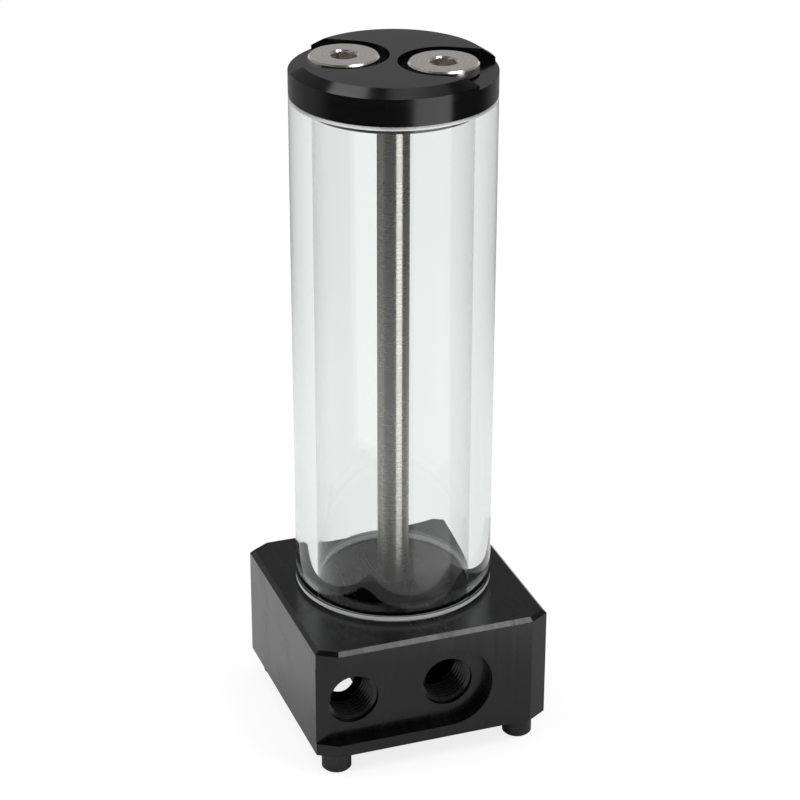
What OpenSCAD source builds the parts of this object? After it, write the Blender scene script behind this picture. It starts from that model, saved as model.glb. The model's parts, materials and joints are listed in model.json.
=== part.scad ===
// Coolant pump reservoir: a milled base with two threaded ports, a clear tube,
// a tie rod and a screw cap with two filling plugs.
// Origin: centre of the base, on the plane that the feet stand on. +Z is up, and -Y is the port side.

/* [Base block] */
// Width of the base, left to right
base_w = 61.4; // [60:0.1:80]
// Depth of the base, front to back
base_d = 61; // [60:0.1:80]
// Height of the base
base_h = 30; // [28:0.1:45]
// Corner chamfer, measured along the width
corner_x = 5; // [1:0.1:6]
// Corner chamfer, measured along the depth
corner_y = 3; // [1:0.1:6]
// Bevel along the top edges
top_bevel = 1; // [0.3:0.1:2]
// Sideways place of the tube's axis on the base
tube_x = 0.2; // [-1:0.1:1]
// Front-to-back place of the tube's axis on the base
tube_y = 2.3; // [1:0.1:3]

/* [Feet] */
// Diameter of a stand-off foot
foot_d = 7.5; // [6:0.1:9]
// Height of a stand-off foot
foot_h = 6.2; // [4:0.1:12]
// Distance between feet, both ways
foot_pitch = 49; // [46:0.1:49]
// Tapping hole in a foot for the pump's or bracket's M4 screw
foot_bore_d = 3.3; // [2.5:0.1:3.4]
// Stud on top of a foot
stud_d = 4; // [3:0.1:5]
// Length of that stud
stud_len = 5; // [3:0.1:6]

/* [Side ports] */
// Major diameter of the G1/4 port thread
port_d = 13.16; // [11:0.01:13.2]
// Length of the port thread
port_thread = 11; // [8:0.1:12]
// Distance between the two ports
port_pitch = 25; // [23:0.1:26]
// Place of the middle between the ports
port_mid_x = -8.3; // [-8.5:0.1:-8]
// Height of the port axes above the underside
port_z = 14.1; // [13.5:0.1:16]
// Drilling beyond the thread
passage_d = 11; // [8:0.1:11.2]
// Radius at the round end of the front recess
recess_r = 10.9; // [8:0.1:11]
// Depth of the front recess
recess_depth = 3.3; // [1:0.1:4]

/* [Pump chamber] */
// Smallest radius of the spiral chamber
volute_r = 17.2; // [14:0.1:17.5]
// Growth of the spiral in each quarter turn
volute_step = 0.6; // [0.2:0.1:0.7]
// Depth of the chamber
volute_depth = 6; // [3:0.1:6]
// Width of the outlet channel
outlet_w = 9; // [6:0.1:9.2]
// Length of the outlet channel in front of the pump's axis
outlet_len = 10; // [8:0.1:10]
// Depth of the outlet channel
outlet_depth = 14; // [10:0.1:15]
// Diameter of the inlet eye in the chamber's roof
eye_d = 13; // [9:0.1:13]
// Height of the inlet eye
eye_depth = 4; // [2:0.1:5]
// Diameter of the drillings between the reservoir, the eye and the return port
drill_d = 8; // [5:0.1:8]
// Mean diameter of the pump's O-ring
pump_ring_d = 55.2; // [55:0.1:55.4]
// Thickness of the pump's O-ring
pump_ring_t = 2.2; // [1.5:0.1:2.2]

/* [Tube and seals] */
// Outer diameter of the clear tube and of the cap
tube_d = 50; // [49:0.1:54]
// Wall of the clear tube
tube_wall = 5.5; // [3:0.1:5.5]
// Length of the clear tube
tube_len = 130.7; // [60:0.1:260]
// Ground bevel on the tube's rims
rim_bevel = 0.8; // [0.2:0.1:1.2]
// Thickness of the flat seals
seal_t = 1.2; // [0.8:0.1:2]
// Width of the flat seals
seal_w = 3.8; // [1.5:0.1:4]
// Height of the centring step that the tube stands round
step_h = 1; // [0.5:0.1:2]

/* [Reservoir floor] */
// Radius of the milled pocket in the reservoir's floor
pocket_r = 16; // [14:0.1:16]
// Depth of that pocket
pocket_depth = 3; // [1:0.1:5]
// Distance from the tube's axis to the pocket's straight back wall
pocket_back = 1.2; // [0:0.1:3]
// Radius of the pocket's milled corners
pocket_corner = 2.5; // [1:0.1:4]
// Diameter of the boss left round the tie rod
boss_d = 10.6; // [9:0.1:12]

/* [Tie rod] */
// Diameter of the tie rod
rod_d = 8; // [6:0.1:9]
// Diameter of the threaded ends
rod_end_d = 6; // [4:0.1:6]
// Length of each threaded end
rod_end_len = 6.5; // [4:0.1:7]

/* [Cap] */
// Thickness of the cap
cap_h = 8.4; // [8:0.1:14]
// Height of the bevel round the cap
cap_bevel_h = 1.8; // [0.5:0.1:2.4]
// Width of the bevel round the cap
cap_bevel_w = 2.8; // [0.5:0.1:4]
// Length of the spigot that reaches into the tube
spigot_h = 3.2; // [2:0.1:6]
// Turn of the cap on the base, in degrees
cap_turn = -31.3; // [-180:0.1:180]
// Distance of each plug from the cap's axis
plug_offset = 12; // [11.9:0.1:12]
// Radius of the pocket round a plug
slot_r = 10.9; // [9:0.1:11]
// Depth of the pocket round a plug
slot_depth = 2.75; // [2.3:0.05:3.5]

/* [Plugs] */
// Diameter of a plug's head
plug_head_d = 17; // [15.5:0.1:17.5]
// Thickness of a plug's head
plug_head_h = 2.3; // [2:0.05:2.6]
// Length of a plug's shank under the head
plug_shank = 8; // [5:0.1:8.5]
// Hex socket, across flats
hex_af = 6; // [4:0.1:7]
// Depth of the hex socket
hex_depth = 5; // [3:0.1:6]
// Thickness of a plug's O-ring
plug_ring_t = 1.3; // [1:0.1:1.5]

/* [Clearances] */
// Radial gap of the spigot and the centring step in the tube
spigot_gap = 0.3; // [0.2:0.05:0.4]
// Radial gap of screwed and turning pieces in their plain bores
thread_gap = 0.06; // [0.02:0.01:0.1]
// Gap between faces that only meet when the cap is tight
face_gap = 0.1; // [0.02:0.01:0.3]
// Gap beside seals in their grooves
seal_gap = 0.15; // [0.05:0.01:0.3]

/* [Hidden] */
$fn = 72;

black = [0.09, 0.09, 0.095];
rubber = [0.05, 0.05, 0.05];
steel = [0.72, 0.72, 0.7];
nickel = [0.8, 0.77, 0.72];
silicone = [0.82, 0.84, 0.84];

// Anything that cuts runs this far past the face that it opens.
over = 1;
// Small chamfer on turned edges
edge = 0.4;
// Arcs that blend into each other cross by this much
blend = 0.01;

base_top = foot_h + base_h;
recess_y = -base_d / 2 + recess_depth;
port_axis_z = foot_h + port_z;
left_port_x = port_mid_x - port_pitch / 2;
right_port_x = port_mid_x + port_pitch / 2;
thread_end_y = recess_y + port_thread;
// The outlet channel lies against the spiral's widest point.
outlet_x = -(volute_r + 2.5 * volute_step);

tube_r = tube_d / 2;
bore_r = tube_r - tube_wall;
tube_z = base_top + face_gap;
tube_top = tube_z + tube_len;
cap_z = tube_top + face_gap;
cap_top = cap_z + cap_h;
step_r = bore_r - spigot_gap;
seal_in = step_r + seal_gap;
seal_out = seal_in + seal_w;
groove_r = seal_out + seal_gap;
floor_z = base_top + step_h;
pocket_z = floor_z - pocket_depth;
spigot_z = cap_z - spigot_h;
slot_z = cap_top - slot_depth;

rod_end_r = rod_end_d / 2 - thread_gap;
rod_top = spigot_z - face_gap;

port_r = port_d / 2;
plug_r = port_r - thread_gap;
plug_head_z = cap_top - plug_head_h;
plug_ring_in = port_r;
plug_ring_out = plug_ring_in + plug_ring_t;
pump_groove_w = pump_ring_t + 2 * seal_gap;

// The return drilling rises from the right port inside the pocket's front edge.
return_x = right_port_x;
return_y = tube_y - sqrt(pow(pocket_r - drill_d / 2, 2) - pow(return_x - tube_x, 2));
// The suction drilling slopes from the pocket's left end down to the inlet eye.
suction_head = [tube_x - 9.8, tube_y - 5.7, pocket_z];
suction_foot = [-1.5, -0.5, foot_h + volute_depth + eye_depth / 2];

// Outline of the base seen from above
base_outline = [
    [-base_w / 2 + corner_x, -base_d / 2], [base_w / 2 - corner_x, -base_d / 2],
    [base_w / 2, -base_d / 2 + corner_y], [base_w / 2, base_d / 2 - corner_y],
    [base_w / 2 - corner_x, base_d / 2], [-base_w / 2 + corner_x, base_d / 2],
    [-base_w / 2, base_d / 2 - corner_y], [-base_w / 2, -base_d / 2 + corner_y]];

// Places its children on the tube's axis.
module on_tube() {
    translate([tube_x, tube_y, 0]) children();
}

// Places its children on the tube's axis, turned with the cap.
module on_cap() {
    on_tube() rotate([0, 0, cap_turn]) children();
}

// Places its children on a plug's axis: side is -1 for the left plug and 1 for the right one.
module on_plug(side) {
    on_cap() translate([side * plug_offset, 0, 0]) children();
}

// A flat ring with square edges, standing on the plane z.
module flat_ring(inner, outer, z, height) {
    translate([0, 0, z]) difference() {
        cylinder(r = outer, h = height);
        translate([0, 0, -over]) cylinder(r = inner, h = height + 2 * over);
    }
}

// An O-ring that lies on the plane z.
module o_ring(inner, thickness, z) {
    rotate_extrude() translate([inner + thickness / 2, z + thickness / 2]) circle(d = thickness);
}

// A round cut from point a to point b.
module drilling(a, b, d) {
    run = b - a;
    translate(a) rotate([0, atan2(norm([run[0], run[1]]), run[2]), atan2(run[1], run[0])])
        cylinder(d = d, h = norm(run));
}

// The outline drawn in by a margin, with each corner on its mitre.
function inset(points, margin) = [
    for (i = [0 : len(points) - 1])
        let (last = points[(i + len(points) - 1) % len(points)],
             next = points[(i + 1) % len(points)],
             a = (points[i] - last) / norm(points[i] - last),
             b = (next - points[i]) / norm(next - points[i]),
             inward_a = [-a[1], a[0]], inward_b = [-b[1], b[0]])
            points[i] + margin * (inward_a + inward_b) / (1 + inward_a * inward_b)];

// The block with its corners cut and its top edges bevelled.
module bevelled_block() {
    n = len(base_outline);
    foot = base_top - top_bevel;
    low = [for (p = base_outline) [p[0], p[1], foot]];
    high = [for (p = inset(base_outline, top_bevel)) [p[0], p[1], base_top]];
    translate([0, 0, foot_h]) linear_extrude(base_h - top_bevel) polygon(base_outline);
    polyhedron(concat(low, high), concat(
        [[for (i = [0 : n - 1]) i]], [[for (i = [0 : n - 1]) 2 * n - 1 - i]],
        [for (i = [0 : n - 1]) [i, n + i, n + (i + 1) % n, (i + 1) % n]]));
}

// Front recess: it opens through the left side and ends in a half circle round the right port.
module front_recess() {
    depth = recess_depth + over;
    translate([right_port_x, recess_y, port_axis_z]) rotate([90, 0, 0])
        cylinder(r = recess_r, h = depth);
    translate([-base_w / 2 - over, recess_y - depth, port_axis_z - recess_r])
        cube([right_port_x + base_w / 2 + over, depth, 2 * recess_r]);
}

// A side port, plain at its thread's major diameter, with the drilling beyond it up to end_y.
module side_port(x, end_y) {
    translate([x, thread_end_y, port_axis_z]) rotate([90, 0, 0])
        cylinder(d = port_d, h = port_thread + over);
    translate([x, end_y, port_axis_z]) rotate([90, 0, 0])
        cylinder(d = passage_d, h = end_y - thread_end_y + over);
}

// Spiral outline of the pump chamber: quarter circles whose centres walk round a small square.
module volute_outline() {
    square(2 * volute_step, center = true);
    for (quarter = [0 : 3]) {
        r = volute_r + quarter * volute_step;
        rotate([0, 0, 90 * quarter]) translate([volute_step / 2, -volute_step / 2])
            intersection() {
                circle(r = r);
                translate([-r, -r]) square(r);
            }
    }
}

// Everything that the pump needs in the underside: chamber, outlet channel, inlet eye and ring groove.
module pump_side() {
    translate([0, 0, foot_h - over]) {
        linear_extrude(volute_depth + over) volute_outline();
        cylinder(d = eye_d, h = volute_depth + eye_depth + over);
        translate([outlet_x, 0, 0]) {
            cylinder(d = outlet_w, h = outlet_depth + over);
            translate([0, -outlet_len, 0]) cylinder(d = outlet_w, h = outlet_depth + over);
            translate([-outlet_w / 2, -outlet_len, 0])
                cube([outlet_w, outlet_len, outlet_depth + over]);
        }
    }
    flat_ring((pump_ring_d - pump_groove_w) / 2, (pump_ring_d + pump_groove_w) / 2,
              foot_h - over, pump_ring_t - face_gap + over);
}

// What stands in the floor's pocket: the boss round the rod, blended into the back wall.
module pocket_boss() {
    fillet_y = -pocket_back - pocket_corner;
    fillet_x = sqrt(pow(boss_d / 2 + pocket_corner, 2) - pow(fillet_y, 2));
    circle(d = boss_d);
    for (side = [0, 1]) mirror([side, 0]) difference() {
        polygon([[0, 0], [fillet_x, 0], [fillet_x, fillet_y]]);
        translate([fillet_x, fillet_y]) circle(r = pocket_corner + blend);
    }
}

// Outline of the pocket in the reservoir's floor: half a disc with round corners, less the boss.
module pocket_outline() {
    corner_cy = -pocket_back - pocket_corner;
    corner_cx = sqrt(pow(pocket_r - pocket_corner, 2) - pow(corner_cy, 2));
    difference() {
        union() {
            for (side = [-1, 1]) translate([side * corner_cx, corner_cy]) circle(r = pocket_corner);
            translate([-corner_cx, corner_cy]) square([2 * corner_cx, pocket_corner]);
            intersection() {
                circle(r = pocket_r);
                polygon([[0, 0], 2 * [corner_cx, corner_cy], [2 * pocket_r, -2 * pocket_r],
                         [-2 * pocket_r, -2 * pocket_r], 2 * [-corner_cx, corner_cy]]);
            }
        }
        pocket_boss();
    }
}

// Cuts in the top face: seal groove, floor pocket, rod hole and the two drillings from the pocket.
module reservoir_side() {
    on_tube() {
        flat_ring(step_r, groove_r, tube_z - seal_t, seal_t + step_h);
        translate([0, 0, pocket_z]) linear_extrude(pocket_depth + over) pocket_outline();
        translate([0, 0, floor_z - rod_end_len - over])
            cylinder(d = rod_end_d, h = rod_end_len + 2 * over);
    }
    translate([return_x, return_y, port_axis_z])
        cylinder(d = drill_d, h = pocket_z - port_axis_z + pocket_depth / 2);
    intersection() {
        drilling(suction_foot, suction_head + 0.2 * (suction_head - suction_foot), drill_d);
        translate([-base_w / 2, -base_d / 2, foot_h]) cube([base_w, base_d, pocket_z - foot_h]);
    }
}

module base_block() color(black) difference() {
    union() {
        bevelled_block();
        on_tube() translate([0, 0, base_top - over]) cylinder(r = step_r, h = step_h + over);
    }
    front_recess();
    side_port(left_port_x, -outlet_len / 2);
    side_port(right_port_x, return_y);
    pump_side();
    reservoir_side();
    for (x = [-1, 1], y = [-1, 1])
        translate([x * foot_pitch / 2, y * foot_pitch / 2, foot_h - over])
            cylinder(d = stud_d, h = stud_len + edge + over);
}

module glass_tube() color([0.85, 0.9, 0.9, 0.35]) on_tube() rotate_extrude() polygon([
    [bore_r, tube_z], [tube_r - rim_bevel, tube_z], [tube_r, tube_z + rim_bevel],
    [tube_r, tube_top - rim_bevel], [tube_r - rim_bevel, tube_top], [bore_r, tube_top]]);

module tie_rod() color(steel) on_tube() rotate_extrude() polygon([
    [0, floor_z - rod_end_len], [rod_end_r - edge, floor_z - rod_end_len],
    [rod_end_r, floor_z - rod_end_len + edge], [rod_end_r, floor_z], [rod_d / 2, floor_z],
    [rod_d / 2, rod_top], [rod_end_r, rod_top], [rod_end_r, rod_top + rod_end_len - edge],
    [rod_end_r - edge, rod_top + rod_end_len], [0, rod_top + rod_end_len]]);

module top_cap() color(black) on_cap() difference() {
    rotate_extrude() polygon([
        [0, spigot_z], [step_r - edge, spigot_z], [step_r, spigot_z + edge], [step_r, cap_z],
        [tube_r, cap_z], [tube_r, cap_top - cap_bevel_h], [tube_r - cap_bevel_w, cap_top],
        [0, cap_top]]);
    flat_ring(step_r, groove_r, tube_top - over, seal_t + over);
    translate([0, 0, spigot_z - over]) cylinder(d = rod_end_d, h = rod_end_len + 2 * over);
    for (side = [0, 180]) rotate([0, 0, side]) translate([plug_offset, 0, 0]) {
        translate([0, 0, slot_z]) cylinder(r = slot_r, h = slot_depth + over);
        translate([0, -slot_r, slot_z]) cube([tube_r, 2 * slot_r, slot_depth + over]);
        translate([0, 0, spigot_z - over]) cylinder(d = port_d, h = slot_z - spigot_z + 2 * over);
    }
}

module screw_plug(side) {
    head_r = plug_head_d / 2;
    socket_r = hex_af / 2 / cos(30);
    color(nickel) on_plug(side) difference() {
        rotate_extrude() polygon([
            [0, slot_z - plug_shank], [plug_r - 2 * edge, slot_z - plug_shank],
            [plug_r, slot_z - plug_shank + 2 * edge], [plug_r, plug_head_z],
            [head_r, plug_head_z], [head_r, cap_top - edge], [head_r - edge, cap_top],
            [0, cap_top]]);
        flat_ring(plug_r, plug_ring_out + thread_gap, slot_z, plug_ring_t + thread_gap);
        translate([0, 0, cap_top - hex_depth])
            cylinder(r = socket_r, h = hex_depth + over, $fn = 6);
        translate([0, 0, cap_top - edge])
            cylinder(r1 = socket_r - edge / 2, r2 = socket_r + edge / 2, h = edge + 0.001);
    }
}

module left_plug() screw_plug(-1);
module right_plug() screw_plug(1);

module left_plug_ring() color(rubber) on_plug(-1) o_ring(plug_ring_in, plug_ring_t, slot_z);
module right_plug_ring() color(rubber) on_plug(1) o_ring(plug_ring_in, plug_ring_t, slot_z);

module lower_seal() color(silicone) on_tube() flat_ring(seal_in, seal_out, tube_z - seal_t, seal_t);
module upper_seal() color(silicone) on_tube() flat_ring(seal_in, seal_out, tube_top, seal_t);

module pump_ring() color(rubber)
    o_ring((pump_ring_d - pump_ring_t) / 2, pump_ring_t, foot_h - face_gap);

// A stand-off foot: x and y are -1 or 1 and pick the corner.
module stand_off(x, y) {
    foot_r = foot_d / 2;
    stud_r = stud_d / 2 - thread_gap;
    color(black) translate([x * foot_pitch / 2, y * foot_pitch / 2, 0]) difference() {
        rotate_extrude() polygon([
            [0, 0], [foot_r - edge, 0], [foot_r, edge], [foot_r, foot_h], [stud_r, foot_h],
            [stud_r, foot_h + stud_len], [0, foot_h + stud_len]]);
        translate([0, 0, -over]) cylinder(d = foot_bore_d, h = foot_h);
    }
}

module foot_front_left() stand_off(-1, -1);
module foot_front_right() stand_off(1, -1);
module foot_rear_left() stand_off(-1, 1);
module foot_rear_right() stand_off(1, 1);

base_block();
glass_tube();
tie_rod();
top_cap();
left_plug();
right_plug();
left_plug_ring();
right_plug_ring();
lower_seal();
upper_seal();
pump_ring();
foot_front_left();
foot_front_right();
foot_rear_left();
foot_rear_right();
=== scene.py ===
"""Finish, threads, clear tube and studio of the coolant pump reservoir, round its CAD model."""

import json
import logging
import math
from dataclasses import dataclass, field
from enum import Enum

import bmesh
import bpy
from mathutils import Euler, Matrix, Vector


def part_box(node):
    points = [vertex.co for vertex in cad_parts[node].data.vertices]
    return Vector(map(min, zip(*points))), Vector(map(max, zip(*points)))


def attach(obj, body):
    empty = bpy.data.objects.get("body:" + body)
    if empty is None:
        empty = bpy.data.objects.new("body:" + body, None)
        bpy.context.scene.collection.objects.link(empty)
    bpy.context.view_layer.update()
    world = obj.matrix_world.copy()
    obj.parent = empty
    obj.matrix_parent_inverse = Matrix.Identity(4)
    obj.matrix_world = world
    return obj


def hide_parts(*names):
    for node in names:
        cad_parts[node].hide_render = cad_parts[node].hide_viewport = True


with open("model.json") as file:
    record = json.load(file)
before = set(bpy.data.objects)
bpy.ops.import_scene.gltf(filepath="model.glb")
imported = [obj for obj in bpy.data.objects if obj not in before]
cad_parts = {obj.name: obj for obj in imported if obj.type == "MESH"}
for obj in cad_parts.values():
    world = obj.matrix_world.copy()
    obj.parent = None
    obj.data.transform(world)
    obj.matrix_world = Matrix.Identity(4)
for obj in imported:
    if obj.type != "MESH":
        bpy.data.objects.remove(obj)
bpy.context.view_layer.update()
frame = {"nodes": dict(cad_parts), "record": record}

logging.basicConfig(level=logging.INFO, format="%(message)s")
LOG = logging.getLogger("reservoir")

MM = 0.001
Triple = tuple[float, float, float]
Colour = Triple
Pair = tuple[float, float]
Socket = bpy.types.NodeSocket


class Slot(Enum):
    """Names of two of the record's material slots."""

    ANODISED = "anodised"
    GLASS = "glass"


class Body(Enum):
    """The moving bodies that new pieces ride on."""

    RESERVOIR = "reservoir"


# --------------------------------------------------------------------------
# Shader helpers
# --------------------------------------------------------------------------


class Nodes:
    """A node tree that is filled in step by step, for a material, a world or a group."""

    def __init__(self, tree: bpy.types.NodeTree) -> None:
        """Empties the tree and keeps it."""
        self.tree = tree
        tree.nodes.clear()

    def add(self, kind: str, **settings: object) -> bpy.types.Node:
        """Adds a node.

        Args:
            kind: The node type's name.
            settings: Node properties to set.

        Returns:
            The new node.
        """
        node = self.tree.nodes.new(kind)
        for name, value in settings.items():
            setattr(node, name, value)
        return node

    def join(self, source: Socket, target: Socket) -> None:
        """Links an output to an input."""
        self.tree.links.new(source, target)

    def feed(self, target: Socket, value: object) -> None:
        """Sets an input to a plain value, or links a socket to it."""
        if isinstance(value, bpy.types.NodeSocket):
            self.join(value, target)
        else:
            target.default_value = value

    def sums(self, operation: str, *terms: object, clamp: bool = False) -> Socket:
        """Adds a Math node over the terms.

        Args:
            operation: The Math node's operation.
            terms: Numbers or sockets, in order.
            clamp: Keeps the result from 0 to 1.

        Returns:
            The result.
        """
        node = self.add("ShaderNodeMath", operation=operation, use_clamp=clamp)
        for slot, term in zip(node.inputs, terms):
            self.feed(slot, term)
        return node.outputs[0]

    def span(self, value: Socket, low: float, high: float, start: object, end: object) -> Socket:
        """Maps low..high of a value smoothly to start..end.

        Args:
            value: What is mapped.
            low: The value that gives start.
            high: The value that gives end.
            start: First result.
            end: Last result.

        Returns:
            The mapped value.
        """
        node = self.add("ShaderNodeMapRange", interpolation_type="SMOOTHSTEP")
        self.join(value, node.inputs["Value"])
        node.inputs["From Min"].default_value = low
        node.inputs["From Max"].default_value = high
        self.feed(node.inputs["To Min"], start)
        self.feed(node.inputs["To Max"], end)
        return node.outputs["Result"]

    def blend(self, share: object, first: object, second: object) -> Socket:
        """Mixes two colours.

        Args:
            share: 0 gives the first colour, 1 the second.
            first: Colour or socket.
            second: Colour or socket.

        Returns:
            The mixed colour.
        """
        node = self.add("ShaderNodeMix", data_type="RGBA")
        self.feed(node.inputs[0], share)
        self.feed(node.inputs[6], first)
        self.feed(node.inputs[7], second)
        return node.outputs[2]

    def noise(self, place: Socket, scale: float, detail: float = 2.0) -> Socket:
        """Noise at a place.

        Args:
            place: The coordinates read.
            scale: Cells per metre.
            detail: Octaves added.

        Returns:
            The noise, about 0.5 on average.
        """
        node = self.add("ShaderNodeTexNoise")
        self.join(place, node.inputs["Vector"])
        node.inputs["Scale"].default_value = scale
        node.inputs["Detail"].default_value = detail
        return node.outputs["Fac"]

    def place(
        self,
        shift: Triple = (0.0, 0.0, 0.0),
        turn: Triple = (0.0, 0.0, 0.0),
        scale: Triple = (1.0, 1.0, 1.0),
    ) -> Socket:
        """Object coordinates through a Mapping node.

        Args:
            shift: Added to the coordinates, in metres.
            turn: Turn about each axis, in radians.
            scale: Scale of each axis.

        Returns:
            The mapped coordinates.
        """
        coordinates = self.add("ShaderNodeTexCoord")
        mapping = self.add("ShaderNodeMapping")
        self.join(coordinates.outputs["Object"], mapping.inputs["Vector"])
        mapping.inputs["Location"].default_value = shift
        mapping.inputs["Rotation"].default_value = turn
        mapping.inputs["Scale"].default_value = scale
        return mapping.outputs["Vector"]

    def rings(self, axis: Pair) -> Socket:
        """Distance from an upright axis plus height, which is alike all round a turned surface.

        Args:
            axis: Where the axis stands, in metres.

        Returns:
            The sum, as the first of three coordinates.
        """
        x, y = axis
        centred = self.place(shift=(-x, -y, 0.0))
        flat = self.add("ShaderNodeVectorMath", operation="MULTIPLY")
        self.join(centred, flat.inputs[0])
        flat.inputs[1].default_value = (1.0, 1.0, 0.0)
        length = self.add("ShaderNodeVectorMath", operation="LENGTH")
        self.join(flat.outputs[0], length.inputs[0])
        parts = self.add("ShaderNodeSeparateXYZ")
        self.join(centred, parts.inputs[0])
        reach = self.sums("ADD", length.outputs["Value"], parts.outputs[2])
        both = self.add("ShaderNodeCombineXYZ")
        self.join(reach, both.inputs[0])
        return both.outputs[0]


def ray_kinds(nodes: Nodes) -> tuple[Socket, Socket, Socket]:
    """Tells rays apart by how they left the pieces.

    A ray off the rod has crossed both faces of the tube's wall twice, and counts as reflected, like
    one off the cap. A ray that bounces within the wall has crossed each face once, and counts as
    seen through glass.

    Args:
        nodes: Where the Light Path node goes.

    Returns:
        1 for a ray from the camera, for a reflected ray and for one seen only through glass.
    """
    path = nodes.add("ShaderNodeLightPath")
    bounced = nodes.sums("GREATER_THAN", path.outputs["Glossy Depth"], 0.5)
    crossed = nodes.sums("GREATER_THAN", path.outputs["Transmission Depth"], 2.5)
    inside = nodes.sums("MULTIPLY", bounced, crossed)
    bent = path.outputs["Is Transmission Ray"]
    glossy = nodes.sums("SUBTRACT", path.outputs["Is Glossy Ray"], bent, clamp=True)
    reflected = nodes.sums("MAXIMUM", glossy, inside)
    direct = nodes.sums("SUBTRACT", 1.0, reflected)
    through = nodes.sums("MULTIPLY", bent, direct)
    return path.outputs["Is Camera Ray"], reflected, through


def rgba(colour: Colour) -> tuple[float, float, float, float]:
    """The colour with full alpha."""
    return (*colour, 1.0)


def group(name: str, inputs: dict[str, tuple[str, object]], outputs: dict[str, str]) -> tuple:
    """Starts a shader node group.

    Args:
        name: The group's name.
        inputs: Socket kind and default by input name.
        outputs: Socket kind by output name.

    Returns:
        The group, its Nodes, its input node's outputs and its output node's inputs.
    """
    tree = bpy.data.node_groups.new(name, "ShaderNodeTree")
    for title, (kind, default) in inputs.items():
        socket = tree.interface.new_socket(title, in_out="INPUT", socket_type=kind)
        if default is not None:
            socket.default_value = default
    for title, kind in outputs.items():
        tree.interface.new_socket(title, in_out="OUTPUT", socket_type=kind)
    nodes = Nodes(tree)
    return (
        tree,
        nodes,
        nodes.add("NodeGroupInput").outputs,
        nodes.add("NodeGroupOutput").inputs,
    )


class Effects:
    """Shader groups that several finishes share, each built once."""

    FLOAT = "NodeSocketFloat"
    VECTOR = "NodeSocketVector"

    def __init__(self) -> None:
        """Builds the groups."""
        self.tool_marks = self._tool_marks()
        self.handling = self._handling()

    def _tool_marks(self) -> bpy.types.NodeTree:
        """Fine parallel or round cutter lines: a height and a mask, from stretched noise.

        Returns:
            The group.
        """
        tree, nodes, given, made = group(
            "tool_marks",
            {"Place": (self.VECTOR, None), "Lines": (self.FLOAT, 6000.0), "Along": (self.FLOAT, 40.0)},
            {"Height": self.FLOAT, "Mask": self.FLOAT},
        )
        parts = nodes.add("ShaderNodeSeparateXYZ")
        nodes.join(given["Place"], parts.inputs[0])
        stretched = nodes.add("ShaderNodeCombineXYZ")
        nodes.join(nodes.sums("MULTIPLY", parts.outputs[0], given["Lines"]), stretched.inputs[0])
        nodes.join(nodes.sums("MULTIPLY", parts.outputs[1], given["Along"]), stretched.inputs[1])
        nodes.join(nodes.sums("MULTIPLY", parts.outputs[2], given["Along"]), stretched.inputs[2])
        fine = nodes.noise(stretched.outputs[0], 1.0, 3.0)
        broad = nodes.noise(stretched.outputs[0], 0.17, 1.0)
        height = nodes.sums("ADD", nodes.sums("MULTIPLY", fine, 0.6), nodes.sums("MULTIPLY", broad, 0.4))
        nodes.join(height, made["Height"])
        nodes.join(nodes.span(broad, 0.35, 0.65, 0.0, 1.0), made["Mask"])
        return tree

    def _handling(self) -> bpy.types.NodeTree:
        """Faint smudges and specks of a handled surface, as two masks.

        Returns:
            The group.
        """
        tree, nodes, given, made = group(
            "handling", {"Place": (self.VECTOR, None)}, {"Smudge": self.FLOAT, "Speck": self.FLOAT}
        )
        soft = nodes.noise(given["Place"], 90.0, 3.0)
        speck = nodes.noise(given["Place"], 2600.0, 1.0)
        nodes.join(nodes.span(soft, 0.42, 0.68, 0.0, 1.0), made["Smudge"])
        nodes.join(nodes.span(speck, 0.68, 0.78, 0.0, 1.0), made["Speck"])
        return tree


class Finish:
    """Base of every finish: a named material with its Principled BSDF."""

    effects: Effects

    def start(self, name: str) -> tuple[bpy.types.Material, Nodes, bpy.types.NodeInputs]:
        """Makes the material and its shader.

        Args:
            name: The material's name.

        Returns:
            The material, its nodes and its shader's inputs.
        """
        material = bpy.data.materials.new(name)
        material.use_nodes = True
        nodes = Nodes(material.node_tree)
        shader = nodes.add("ShaderNodeBsdfPrincipled")
        nodes.join(shader.outputs[0], nodes.add("ShaderNodeOutputMaterial").inputs["Surface"])
        return material, nodes, shader.inputs

    @staticmethod
    def effect(nodes: Nodes, tree: bpy.types.NodeTree, **values: object) -> bpy.types.NodeOutputs:
        """Places a shared group.

        Args:
            nodes: The material's nodes.
            tree: The group.
            values: Its inputs.

        Returns:
            The group's outputs.
        """
        node = nodes.add("ShaderNodeGroup")
        node.node_tree = tree
        for name, value in values.items():
            nodes.feed(node.inputs[name], value)
        return node.outputs

    @staticmethod
    def relief(nodes: Nodes, target: Socket, height: Socket, depth: float, strength: float = 1.0) -> None:
        """Feeds a height through a Bump node to a Normal input.

        Args:
            nodes: The material's nodes.
            target: The Normal input.
            height: The height, 0 to 1.
            depth: What a height of 1 stands for, in metres.
            strength: The bump's strength.
        """
        bump = nodes.add("ShaderNodeBump")
        bump.inputs["Strength"].default_value = strength
        bump.inputs["Distance"].default_value = depth
        nodes.join(height, bump.inputs["Height"])
        nodes.join(bump.outputs["Normal"], target)


# --------------------------------------------------------------------------
# Finishes
# --------------------------------------------------------------------------


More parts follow.
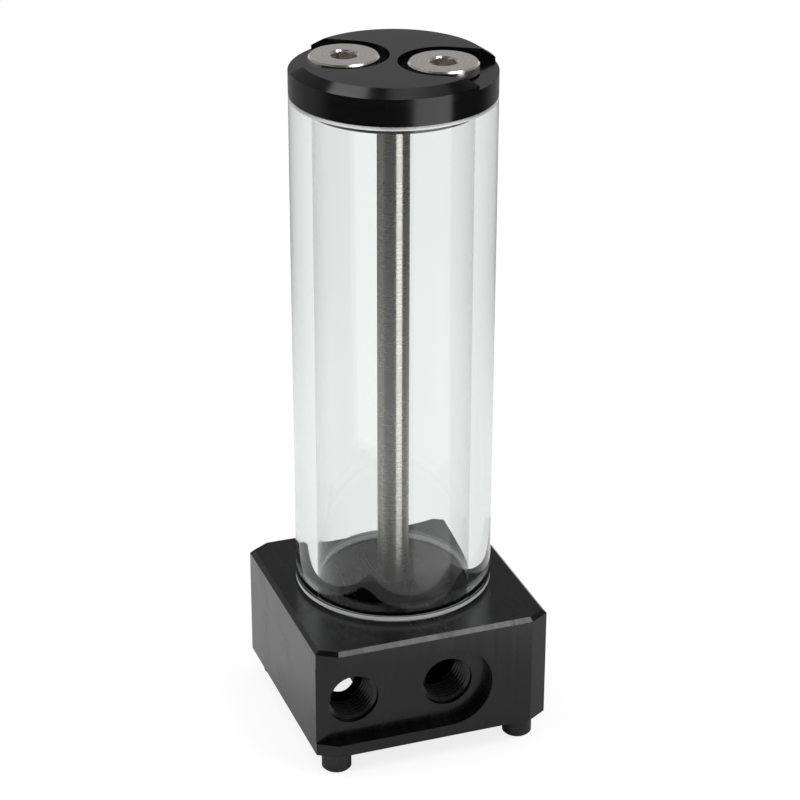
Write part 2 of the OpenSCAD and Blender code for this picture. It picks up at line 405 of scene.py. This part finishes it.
@dataclass(frozen=True)
class AnodisedFinish(Finish):
    """Black anodised aluminium with cutter marks under the skin.

    lines_turn turns straight marks; round_centre gives round marks about an upright axis instead.
    """

    effects: Effects
    name: str
    colour: Colour = (0.0024, 0.0024, 0.0026)
    roughness: float = 0.2
    lines_turn: Triple = (0.0, 0.0, 0.0)
    round_centre: Pair | None = None
    mark_depth: float = 2.5e-7

    def material(self) -> bpy.types.Material:
        """Builds the material.

        Returns:
            The finished material.
        """
        material, nodes, shader = self.start(self.name)
        if self.round_centre is None:
            place = nodes.place(turn=self.lines_turn)
        else:
            place = nodes.rings(self.round_centre)
        marks = self.effect(nodes, self.effects.tool_marks, Place=place, Lines=5200.0, Along=60.0)
        touch = self.effect(nodes, self.effects.handling, Place=nodes.place())
        lighter = tuple(min(1.0, c * 1.7) for c in self.colour)
        shade = nodes.blend(nodes.sums("MULTIPLY", marks["Mask"], 0.5), rgba(self.colour), rgba(lighter))
        dust = nodes.blend(nodes.sums("MULTIPLY", touch["Speck"], 0.25), shade, rgba((0.05, 0.05, 0.05)))
        nodes.join(dust, shader["Base Color"])
        rough = nodes.sums("ADD", self.roughness, nodes.sums("MULTIPLY", marks["Mask"], 0.05))
        rough = nodes.sums("ADD", rough, nodes.sums("MULTIPLY", touch["Smudge"], 0.05), clamp=True)
        nodes.join(rough, shader["Roughness"])
        shader["IOR"].default_value = 1.5
        self.relief(nodes, shader["Normal"], marks["Height"], self.mark_depth)
        return material


@dataclass(frozen=True)
class TurnedMetalFinish(Finish):
    """Bright turned or drawn metal, with fine rings round an upright axis."""

    effects: Effects
    name: str
    colour: Colour
    axis: Pair
    roughness: float = 0.25
    anisotropy: float = 0.6
    mark_depth: float = 2.0e-7
    ring_tone: float = 0.88

    def material(self) -> bpy.types.Material:
        """Builds the material.

        Returns:
            The finished material.
        """
        material, nodes, shader = self.start(self.name)
        place = nodes.rings(self.axis)
        marks = self.effect(nodes, self.effects.tool_marks, Place=place, Lines=9000.0, Along=0.0)
        touch = self.effect(nodes, self.effects.handling, Place=nodes.place())
        darker = tuple(c * self.ring_tone for c in self.colour)
        shade = nodes.blend(marks["Mask"], rgba(self.colour), rgba(darker))
        shade = nodes.blend(nodes.sums("MULTIPLY", touch["Smudge"], 0.35), shade, rgba(darker))
        nodes.join(shade, shader["Base Color"])
        shader["Metallic"].default_value = 1.0
        rough = nodes.sums("ADD", self.roughness, nodes.sums("MULTIPLY", marks["Mask"], 0.06))
        rough = nodes.sums("ADD", rough, nodes.sums("MULTIPLY", touch["Smudge"], 0.05), clamp=True)
        nodes.join(rough, shader["Roughness"])
        shader["Anisotropic"].default_value = self.anisotropy
        shader["Anisotropic Rotation"].default_value = 0.25
        self.relief(nodes, shader["Normal"], marks["Height"], self.mark_depth)
        return material


@dataclass(frozen=True)
class ClearGlassFinish(Finish):
    """Clear tube glass, with the faint waviness of drawn tube. ground makes the frosted rims."""

    effects: Effects
    name: str
    ground: bool = False
    colour: Colour = (0.985, 0.995, 0.99)
    absorbed: Colour = (0.14, 0.21, 0.18)
    density: float = 6.0
    grazing_shade_colour: Colour = (0.82, 0.835, 0.83)
    ground_clarity: float = 0.5

    def material(self) -> bpy.types.Material:
        """Builds the material.

        Returns:
            The finished material.
        """
        material, nodes, shader = self.start(self.name)
        shader["Transmission Weight"].default_value = 1.0
        shader["IOR"].default_value = 1.47
        place = nodes.place(scale=(1.0, 1.0, 0.15))
        if self.ground:
            grain = nodes.noise(nodes.place(), 9000.0, 2.0)
            tone = nodes.blend(grain, rgba((0.9, 0.92, 0.91)), rgba((1.0, 1.0, 1.0)))
            nodes.join(tone, shader["Base Color"])
            shader["Transmission Weight"].default_value = self.ground_clarity
            nodes.join(nodes.span(grain, 0.3, 0.7, 0.38, 0.55), shader["Roughness"])
            self.relief(nodes, shader["Normal"], grain, 8.0e-6)
        else:
            waves = nodes.noise(place, 45.0, 1.0)
            body = nodes.add("ShaderNodeVolumeAbsorption")
            body.inputs["Color"].default_value = rgba(self.absorbed)
            body.inputs["Density"].default_value = self.density
            output = next(node for node in nodes.tree.nodes if node.type == "OUTPUT_MATERIAL")
            nodes.join(body.outputs[0], output.inputs["Volume"])
            # Painted shade: the base colour darkens towards the edge colour where the wall is seen edge-on,
            # in place of the longer light path through the glass.
            facing = nodes.add("ShaderNodeLayerWeight")
            facing.inputs["Blend"].default_value = 0.5
            edge = nodes.span(facing.outputs["Facing"], 0.35, 0.75, 0.0, 1.0)
            nodes.join(nodes.blend(edge, rgba(self.colour), rgba(self.grazing_shade_colour)), shader["Base Color"])
            nodes.join(nodes.span(waves, 0.3, 0.7, 0.0, 0.012), shader["Roughness"])
            self.relief(nodes, shader["Normal"], waves, 1.2e-5)
        return material


@dataclass(frozen=True)
class MouldedFinish(Finish):
    """Rubber, silicone or other moulded stuff with a fine skin."""

    effects: Effects
    name: str
    colour: Colour
    roughness: float = 0.6
    see_through: float = 0.0

    def material(self) -> bpy.types.Material:
        """Builds the material.

        Returns:
            The finished material.
        """
        material, nodes, shader = self.start(self.name)
        place = nodes.place()
        skin = nodes.noise(place, 3200.0, 3.0)
        bloom = nodes.noise(place, 260.0, 2.0)
        lighter = tuple(min(1.0, c * 1.4 + 0.01) for c in self.colour)
        share = nodes.span(bloom, 0.35, 0.7, 0.0, 1.0)
        nodes.join(nodes.blend(share, rgba(self.colour), rgba(lighter)), shader["Base Color"])
        rough = nodes.span(skin, 0.3, 0.7, self.roughness - 0.08, self.roughness + 0.08)
        nodes.join(rough, shader["Roughness"])
        shader["Transmission Weight"].default_value = self.see_through
        self.relief(nodes, shader["Normal"], skin, 1.2e-5)
        return material


# --------------------------------------------------------------------------
# Mesh helpers
# --------------------------------------------------------------------------


def profile_edges(mesh: bmesh.types.BMesh, points: list[Pair], closed: bool) -> list:
    """Draws a profile in the XZ plane.

    Args:
        mesh: Where it is drawn.
        points: Radius and height of each point, in metres.
        closed: Joins the last point to the first.

    Returns:
        Its vertices and edges.
    """
    corners = [mesh.verts.new((radius, 0.0, height)) for radius, height in points]
    pairs = list(zip(corners, corners[1:]))
    if closed:
        pairs.append((corners[-1], corners[0]))
    return corners + [mesh.edges.new(pair) for pair in pairs]


def revolve(points: list[Pair], steps: int, closed: bool = True) -> bmesh.types.BMesh:
    """Turns a profile once round Z.

    Args:
        points: Radius and height of each point, in metres.
        steps: Steps in the turn.
        closed: The profile is a ring of points.

    Returns:
        The turned mesh.
    """
    mesh = bmesh.new()
    bmesh.ops.spin(
        mesh, geom=profile_edges(mesh, points, closed), cent=(0, 0, 0), axis=(0, 0, 1),
        angle=2 * math.pi, steps=steps, use_merge=True, use_duplicate=False,
    )
    bmesh.ops.remove_doubles(mesh, verts=mesh.verts, dist=1e-7)
    bmesh.ops.recalc_face_normals(mesh, faces=mesh.faces)
    return mesh


def wind(points: list[Pair], pitch: float, turns: float, steps: int) -> bmesh.types.BMesh:
    """Winds a closed profile up round Z along a right-handed helix, with capped ends.

    Args:
        points: Radius and height of each point, in metres.
        pitch: Rise in one turn, in metres.
        turns: Number of turns.
        steps: Steps in one turn.

    Returns:
        The wound mesh.
    """
    mesh = bmesh.new()
    geometry = profile_edges(mesh, points, True)
    count = round(turns * steps)
    done = bmesh.ops.spin(
        mesh, geom=geometry, cent=(0, 0, 0), axis=(0, 0, 1), dvec=(0, 0, pitch / steps),
        angle=2 * math.pi * count / steps, steps=count, use_merge=False, use_duplicate=False,
    )
    first = [item for item in geometry if isinstance(item, bmesh.types.BMEdge)]
    last = [item for item in done["geom_last"] if isinstance(item, bmesh.types.BMEdge)]
    bmesh.ops.contextual_create(mesh, geom=first)
    bmesh.ops.contextual_create(mesh, geom=last)
    bmesh.ops.recalc_face_normals(mesh, faces=mesh.faces)
    return mesh


def finished(
    mesh: bmesh.types.BMesh, name: str, materials: list[bpy.types.Material], body: Body,
    place: Matrix = Matrix.Identity(4), smooth_below: float = 35.0,
) -> bpy.types.Object:
    """Turns a mesh into a piece that stands where it belongs.

    Args:
        mesh: The mesh, which is freed.
        name: The piece's name.
        materials: Its material slots.
        body: The body that it rides on.
        place: Where the mesh goes.
        smooth_below: Edges under this many degrees are shaded smooth.

    Returns:
        The piece.
    """
    mesh.transform(place)
    for face in mesh.faces:
        face.smooth = True
    for edge in mesh.edges:
        if len(edge.link_faces) == 2:
            edge.smooth = edge.calc_face_angle(0.0) < math.radians(smooth_below)
    data = bpy.data.meshes.new(name)
    mesh.to_mesh(data)
    mesh.free()
    for material in materials:
        data.materials.append(material)
    piece = bpy.data.objects.new(name, data)
    bpy.context.scene.collection.objects.link(piece)
    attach(piece, body.value)
    LOG.info("%s: %d faces on %s", name, len(data.polygons), body.value)
    return piece


def dress(node: str, material: bpy.types.Material) -> None:
    """Gives a CAD node its material."""
    for slot in frame["nodes"][node].material_slots:
        slot.material = material
    LOG.info("%s: %s", node, material.name)


# --------------------------------------------------------------------------
# Pieces
# --------------------------------------------------------------------------


@dataclass
class ThreadForm:
    """A 55 or 60 degree screw thread: sizes in millimetres, measured on the radius."""

    pitch: float
    crest_r: float
    root_r: float
    crest_w: float
    root_w: float

    def profile(self) -> list[Pair]:
        """The ridge's section, in metres.

        Returns:
            Radius and height of its four corners.
        """
        return [
            (self.root_r * MM, -self.root_w / 2 * MM), (self.crest_r * MM, -self.crest_w / 2 * MM),
            (self.crest_r * MM, self.crest_w / 2 * MM), (self.root_r * MM, self.root_w / 2 * MM),
        ]

    def ridge(self, length: float, steps: int = 48) -> bmesh.types.BMesh:
        """One ridge of the thread, from z = 0 up to the length.

        Args:
            length: Threaded length in millimetres.
            steps: Steps in one turn.

        Returns:
            The ridge.
        """
        usable = length - self.root_w
        mesh = wind(self.profile(), self.pitch * MM, usable / self.pitch, steps)
        mesh.transform(Matrix.Translation((0, 0, self.root_w / 2 * MM)))
        return mesh


@dataclass
class Base:
    """The milled base: its finish, and the threads cut in its two side ports."""

    effects: Effects
    node: str = "base_block"
    ports: dict[str, str] = field(default_factory=lambda: {"outlet_port": "left", "return_port": "right"})
    form: ThreadForm = field(default_factory=lambda: ThreadForm(1.337, 5.72, 6.6, 0.2, 1.15))

    def build(self) -> None:
        """Dresses the block and cuts the port threads."""
        dress(self.node, AnodisedFinish(self.effects, "anodised_block").material())
        crest = AnodisedFinish(
            self.effects, "anodised_thread", colour=(0.012, 0.012, 0.012), roughness=0.16
        ).material()
        for mount in frame["record"]["mounts"]:
            side = self.ports.get(mount["name"])
            if side is None:
                continue
            mouth = Vector(mount["pos_m"])
            inward = -Vector(mount["axis"])
            ridge = self.form.ridge(mount["dims"]["length_mm"] - 0.9)
            turn = inward.to_track_quat("Z", "Y").to_matrix().to_4x4()
            place = Matrix.Translation(mouth + inward * 0.5 * MM) @ turn
            finished(ridge, f"{side}_port_thread", [crest], Body.RESERVOIR, place)


@dataclass
class Tube:
    """The clear tube with its ground rims, standing for the plain CAD tube."""

    effects: Effects
    node: str = "glass_tube"
    wall: float = 5.5
    bevel: float = 0.8
    seat_band: float = 0.9
    steps: int = 256

    def build(self) -> None:
        """Turns the tube and gives it clear walls and frosted rims."""
        low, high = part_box(self.node)
        outer = (high[0] - low[0]) / 2
        inner = outer - self.wall * MM
        bevel = self.bevel * MM
        nick = 0.12 * MM
        foot, head = low[2], high[2]
        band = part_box("base_block")[1][2] + self.seat_band * MM
        mesh = revolve([
            (inner, foot + nick), (inner + nick, foot), (outer - bevel, foot), (outer, foot + bevel),
            (outer, band), (outer, head - bevel), (outer - bevel, head),
            (inner + nick, head), (inner, head - nick),
        ], self.steps)
        for face in mesh.faces:
            z = face.calc_center_median().z
            face.material_index = 2 if z < band else int(z > head - bevel)
        centre = Matrix.Translation(((low[0] + high[0]) / 2, (low[1] + high[1]) / 2, 0.0))
        clear = ClearGlassFinish(self.effects, "clear_glass").material()
        ground = ClearGlassFinish(self.effects, "ground_glass", ground=True).material()
        seated = ClearGlassFinish(self.effects, "seated_rim", ground=True, ground_clarity=0.35).material()
        materials = [clear, ground, seated]
        piece = finished(mesh, "clear_tube", materials, Body.RESERVOIR, centre, 20.0)
        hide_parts(self.node)


@dataclass
class Rod:
    """The drawn stainless tie rod, which clamps the tube between base and cap."""

    effects: Effects
    node: str = "tie_rod"

    def build(self) -> None:
        """Dresses the rod."""
        low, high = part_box(self.node)
        axis = ((low[0] + high[0]) / 2, (low[1] + high[1]) / 2)
        finish = TurnedMetalFinish(
            self.effects, "drawn_stainless", colour=(0.60, 0.585, 0.56), axis=axis, roughness=0.24,
            anisotropy=0.85, mark_depth=2.0e-8, ring_tone=0.97,
        )
        dress(self.node, finish.material())


@dataclass
class Cap:
    """The turned screw cap."""

    effects: Effects
    node: str = "top_cap"

    def build(self) -> None:
        """Dresses the cap."""
        low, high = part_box(self.node)
        centre = ((low[0] + high[0]) / 2, (low[1] + high[1]) / 2)
        finish = AnodisedFinish(self.effects, "anodised_cap", roughness=0.13, round_centre=centre)
        dress(self.node, finish.material())


@dataclass
class Plugs:
    """The two nickel-plated filling plugs."""

    effects: Effects
    nodes: tuple[str, str] = ("left_plug", "right_plug")

    def build(self) -> None:
        """Dresses both plugs, each with rings round its own axis."""
        for node in self.nodes:
            low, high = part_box(node)
            axis = ((low[0] + high[0]) / 2, (low[1] + high[1]) / 2)
            finish = TurnedMetalFinish(
                self.effects, f"nickel_{node}", colour=(0.93, 0.91, 0.87), axis=axis, roughness=0.2,
                anisotropy=0.3,
            )
            dress(node, finish.material())


@dataclass
class Trim:
    """The seals, rings and stand-off feet."""

    effects: Effects
    rubber: tuple[str, ...] = ("left_plug_ring", "right_plug_ring", "pump_ring")
    silicone: tuple[str, ...] = ("lower_seal", "upper_seal")
    feet: tuple[str, ...] = ("foot_front_left", "foot_front_right", "foot_rear_left", "foot_rear_right")

    def build(self) -> None:
        """Dresses the small pieces."""
        rubber = MouldedFinish(self.effects, "black_rubber", (0.012, 0.012, 0.012), 0.55)
        silicone = MouldedFinish(self.effects, "clear_silicone", (0.72, 0.75, 0.74), 0.35, see_through=0.4)
        foot = MouldedFinish(self.effects, "foot_black", (0.010, 0.010, 0.010), 0.42)
        for nodes, finish in ((self.rubber, rubber), (self.silicone, silicone), (self.feet, foot)):
            material = finish.material()
            for node in nodes:
                dress(node, material)


# --------------------------------------------------------------------------
# Studio
# --------------------------------------------------------------------------


@dataclass
class Lamp:
    """A soft rectangular lamp that looks at a point, sizes in metres."""

    name: str
    place: Triple
    size: Pair
    power: float
    target: Triple = (0.0, 0.0, 0.08)
    glossy: bool = True

    def build(self) -> None:
        """Hangs the lamp."""
        data = bpy.data.lights.new(self.name, "AREA")
        data.shape = "RECTANGLE"
        data.size, data.size_y = self.size
        data.energy = self.power
        lamp = bpy.data.objects.new(self.name, data)
        lamp.location = self.place
        lamp.rotation_euler = (Vector(self.target) - Vector(self.place)).to_track_quat("-Z", "Y").to_euler()
        lamp.visible_camera = False
        lamp.visible_transmission = False
        lamp.visible_glossy = self.glossy
        bpy.context.scene.collection.objects.link(lamp)


@dataclass
class Studio:
    """Pale floor, soft light and the camera.

    The floor levels are painted light and shade that only reflections see: the floor is darker in front and
    far off and lighter close behind, in place of the lamps' falloff. The room levels are what reflections
    see of the room. The bands are where one level turns into the next, in metres on the floor and as a
    share of a direction in the room.
    """

    camera_place: Triple = (-0.1983, -0.5500, 0.3688)
    camera_target: Triple = (0.0018, 0.0017, 0.0862)
    camera_roll: float = 0.132
    lens: float = 117.3
    floor_near: float = 0.15
    floor_far: float = 0.34
    painted_shade_front: float = 0.6
    painted_light_behind: float = 1.0
    painted_shade_far_front: float = 0.05
    painted_shade_far_back: float = 0.3
    card_turn: float = 67.0
    card_spread: float = 0.4
    card_start: float = 0.09
    painted_card_glow: float = 1.9
    through_glass: float = 0.98
    white: float = 1.14
    room_back: float = 0.7
    room_high: float = 0.23
    room_zenith: float = 0.05
    room_front: float = 0.05
    fill: float = 0.62
    glow_share: float = 0.72
    near_band: Pair = (-0.03, 0.03)
    far_band: Pair = (-0.05, 0.25)
    low_sky: Pair = (0.02, 0.42)
    high_sky: Pair = (0.6, 0.85)
    front_to_back: Pair = (-0.5, 0.3)
    lamps: tuple[Lamp, ...] = (
        Lamp("high_left", (-0.216, 0.264, 0.89), (0.3, 0.3), 0.65),
        Lamp("high_bar", (0.2, 0.09, 0.94), (0.16, 0.45), 0.24),
        Lamp("high_front", (0.32, -0.38, 0.86), (0.36, 0.4), 2.8),
        Lamp("soft_left", (-0.5, 0.05, 0.45), (0.4, 0.4), 1.1, (0.0, 0.0, 0.0), glossy=False),
    )

    def build(self) -> None:
        """Builds floor, world, lamps and camera."""
        self._floor()
        self._world()
        for lamp in self.lamps:
            lamp.build()
        self._camera()

    def _floor(self) -> None:
        """Lays a wide pale floor that shows a light shadow."""
        mesh = bmesh.new()
        bmesh.ops.create_circle(mesh, cap_ends=True, segments=96, radius=4.0)
        data = bpy.data.meshes.new("floor")
        mesh.to_mesh(data)
        mesh.free()
        floor = bpy.data.objects.new("floor", data)
        bpy.context.scene.collection.objects.link(floor)
        material = bpy.data.materials.new("pale_floor")
        material.use_nodes = True
        nodes = Nodes(material.node_tree)
        camera, reflected, through = ray_kinds(nodes)
        seen = nodes.sums("MAXIMUM", camera, through)
        parts = nodes.add("ShaderNodeSeparateXYZ")
        nodes.join(nodes.place(), parts.inputs[0])
        length = nodes.add("ShaderNodeVectorMath", operation="LENGTH")
        nodes.join(nodes.place(), length.inputs[0])
        # Painted light and shade: reflected rays see the floor darker in front and far off, and lighter
        # close behind the object, in place of real falloff of the lamps.
        painted_far = nodes.span(parts.outputs[1], *self.far_band, self.painted_shade_far_front, self.painted_shade_far_back)
        painted_near = nodes.span(parts.outputs[1], *self.near_band, self.painted_shade_front, self.painted_light_behind)
        depth = nodes.span(length.outputs["Value"], self.floor_near, self.floor_far, painted_near, painted_far)
        lit = nodes.add("ShaderNodeBsdfDiffuse")
        nodes.join(nodes.blend(reflected, rgba((0.8, 0.8, 0.8)), depth), lit.inputs["Color"])
        glow = nodes.add("ShaderNodeEmission")
        glow.inputs["Color"].default_value = (1.0, 1.0, 1.0, 1.0)
        level = nodes.span(camera, 0.0, 1.0, self.through_glass, self.white)
        # Painted reflection: reflected rays see this wedge of floor glow brighter than white, in place of a
        # real white card.
        card = nodes.sums("MULTIPLY", reflected, self._card(nodes))
        nodes.join(nodes.span(card, 0.0, 1.0, level, self.painted_card_glow), glow.inputs["Strength"])
        share = nodes.sums("MAXIMUM", nodes.sums("MULTIPLY", seen, self.glow_share), card)
        mix = nodes.add("ShaderNodeMixShader")
        nodes.join(share, mix.inputs[0])
        nodes.join(lit.outputs[0], mix.inputs[1])
        nodes.join(glow.outputs[0], mix.inputs[2])
        nodes.join(mix.outputs[0], nodes.add("ShaderNodeOutputMaterial").inputs["Surface"])
        data.materials.append(material)

    def _card(self, nodes: Nodes) -> Socket:
        """Marks a wedge of floor in front that glows in reflections: a painted reflection of a tall white
        card.

        Args:
            nodes: The floor's nodes.

        Returns:
            1 inside the wedge.
        """
        parts = nodes.add("ShaderNodeSeparateXYZ")
        nodes.join(nodes.place(turn=(0.0, 0.0, math.radians(self.card_turn))), parts.inputs[0])
        along, across = parts.outputs[0], nodes.sums("ABSOLUTE", parts.outputs[1])
        slope = nodes.sums("DIVIDE", across, nodes.sums("MAXIMUM", along, 0.001))
        inside = nodes.span(slope, self.card_spread * 0.85, self.card_spread * 1.15, 1.0, 0.0)
        ahead = nodes.span(along, self.card_start, self.card_start * 1.2, 0.0, 1.0)
        return nodes.sums("MULTIPLY", inside, ahead)

    def _world(self) -> None:
        """Surrounds the scene with white for the camera and a soft grey room for reflections."""
        world = bpy.data.worlds.new("studio")
        world.use_nodes = True
        bpy.context.scene.world = world
        nodes = Nodes(world.node_tree)
        camera, reflected, through = ray_kinds(nodes)
        direction = nodes.add("ShaderNodeTexCoord")
        parts = nodes.add("ShaderNodeSeparateXYZ")
        nodes.join(direction.outputs["Generated"], parts.inputs[0])
        high = nodes.span(parts.outputs[2], *self.high_sky, self.room_high, self.room_zenith)
        back = nodes.span(parts.outputs[2], *self.low_sky, self.room_back, high)
        room = nodes.span(parts.outputs[1], *self.front_to_back, self.room_front, back)
        level = nodes.span(reflected, 0.0, 1.0, self.fill, room)
        level = nodes.span(through, 0.0, 1.0, level, self.through_glass)
        level = nodes.sums("MAXIMUM", level, camera)
        background = nodes.add("ShaderNodeBackground")
        background.inputs["Color"].default_value = (1.0, 1.0, 1.0, 1.0)
        nodes.join(level, background.inputs["Strength"])
        nodes.join(background.outputs[0], nodes.add("ShaderNodeOutputWorld").inputs["Surface"])

    def _camera(self) -> None:
        """Sets up the camera."""
        data = bpy.data.cameras.new("camera")
        data.lens = self.lens
        data.sensor_width = 36.0
        data.clip_start, data.clip_end = 0.01, 20.0
        camera = bpy.data.objects.new("camera", data)
        camera.location = self.camera_place
        aim = (Vector(self.camera_target) - Vector(self.camera_place)).to_track_quat("-Z", "Y")
        roll = Euler((0.0, 0.0, math.radians(self.camera_roll))).to_quaternion()
        camera.rotation_mode = "QUATERNION"
        camera.rotation_quaternion = aim @ roll
        bpy.context.scene.collection.objects.link(camera)
        bpy.context.scene.camera = camera
        bpy.context.scene.view_settings.view_transform = "Standard"


def main() -> None:
    """Builds the sub-assemblies in order, then the studio."""
    effects = Effects()
    for kind in (Base, Tube, Rod, Cap, Plugs, Trim):
        kind(effects).build()
    Studio().build()


if __name__ == "__main__":
    main()
